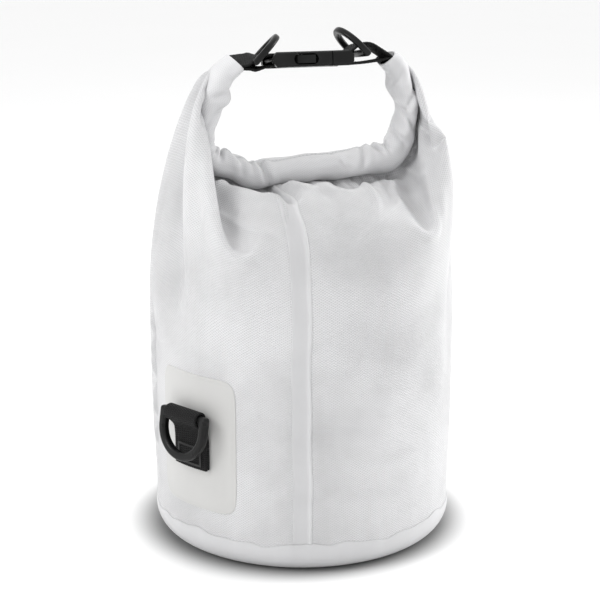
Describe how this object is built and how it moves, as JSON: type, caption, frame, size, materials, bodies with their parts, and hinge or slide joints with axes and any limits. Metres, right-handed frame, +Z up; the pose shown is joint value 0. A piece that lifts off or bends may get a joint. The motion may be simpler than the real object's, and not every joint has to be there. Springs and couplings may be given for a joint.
{
  "type": "roll-top dry bag",
  "caption": "Round-bottomed roll-top dry bag in frosted ripstop, its rolled mouth bent up and buckled into a carry handle, with D-rings and a side patch.",
  "frame": {"origin": "middle of the round base, on the surface that the bag stands on", "axes": "+Z up, X along the rolled mouth and the handle with the buckle's socket towards -X, -Y out of the front with the lap seam and the patch"},
  "size_m": [0.1795, 0.1722, 0.2883],
  "materials": {
    "ripstop": "satin",
    "base_fabric": "satin",
    "seam_film": "satin",
    "patch_film": "matte",
    "webbing": "matte",
    "thread": "matte",
    "strip": "matte",
    "ring_plastic": "satin",
    "buckle_plastic": "satin"
  },
  "bodies": {
    "bag": {"bag_wall": "ripstop", "base_panel": "base_fabric", "side_seam": "seam_film", "attachment_patch": "patch_film", "patch_webbing": "webbing", "patch_stitching": "thread", "rolled_mouth": "ripstop", "stiffener_lower": "strip", "stiffener_upper": "strip", "ear_left": "ripstop", "ear_right": "ripstop"},
    "left_leg": {"roll_leg_left": "ripstop"},
    "right_leg": {"roll_leg_right": "ripstop"},
    "left_buckle_half": {"webbing_loop_left": "webbing", "stitching_left": "thread", "buckle_socket": "buckle_plastic"},
    "right_buckle_half": {"webbing_loop_right": "webbing", "stitching_right": "thread", "buckle_insert": "buckle_plastic"},
    "front_prong": {"buckle_prong_front": "buckle_plastic"},
    "back_prong": {"buckle_prong_back": "buckle_plastic"},
    "left_ring": {"d_ring_left": "ring_plastic"},
    "right_ring": {"d_ring_right": "ring_plastic"},
    "patch_ring": {"patch_d_ring": "ring_plastic"}
  },
  "joints": [
    {"name": "left_leg_swing", "type": "hinge", "parent": "bag", "child": "left_leg", "pos_m": [-0.048, 0, 0.218], "axis": [0, -1, 0], "range_deg": [0, 40], "deforming": ["ear_left", "buckle_prong_front"]},
    {"name": "right_leg_swing", "type": "hinge", "parent": "bag", "child": "right_leg", "pos_m": [0.055, 0, 0.218], "axis": [0, 1, 0], "range_deg": [0, 40], "deforming": ["ear_right", "buckle_prong_back"]},
    {"name": "left_webbing_turn", "type": "hinge", "parent": "left_leg", "child": "left_buckle_half", "pos_m": [-0.0385, -0.00007, 0.2705], "axis": [0, -0.9903, 0.1392], "range_deg": [-40, 0]},
    {"name": "right_webbing_turn", "type": "hinge", "parent": "right_leg", "child": "right_buckle_half", "pos_m": [0.0485, -0.00007, 0.2705], "axis": [0, 0.9903, -0.1392], "range_deg": [-40, 0]},
    {"name": "front_prong_press", "type": "hinge", "parent": "right_buckle_half", "child": "front_prong", "pos_m": [0.0157, -0.00941, 0.27232], "axis": [0, -0.1392, -0.9903], "range_deg": [0, 6.5], "stiffness_Nm_per_rad": 1.2},
    {"name": "back_prong_press", "type": "hinge", "parent": "right_buckle_half", "child": "back_prong", "pos_m": [0.0157, 0.00941, 0.26968], "axis": [0, 0.1392, 0.9903], "range_deg": [0, 6.5], "stiffness_Nm_per_rad": 1.2},
    {"name": "left_ring_swing", "type": "hinge", "parent": "left_buckle_half", "child": "left_ring", "pos_m": [-0.0274, -0.00007, 0.2705], "axis": [-0.1392, -0.9806, 0.1378], "range_deg": [0, 110]},
    {"name": "right_ring_swing", "type": "hinge", "parent": "right_buckle_half", "child": "right_ring", "pos_m": [0.034, 0.00033, 0.27338], "axis": [0, 0.9903, -0.1392], "range_deg": [0, 110]},
    {"name": "patch_ring_swing", "type": "hinge", "parent": "bag", "child": "patch_ring", "pos_m": [-0.07967, -0.046, 0.0856], "axis": [-0.5, 0.866, 0], "range_deg": [0, 150]}
  ],
  "couplings": [
    {"joint": "left_webbing_turn", "follows": "left_leg_swing", "ratio": -1},
    {"joint": "right_webbing_turn", "follows": "right_leg_swing", "ratio": -1}
  ]
}
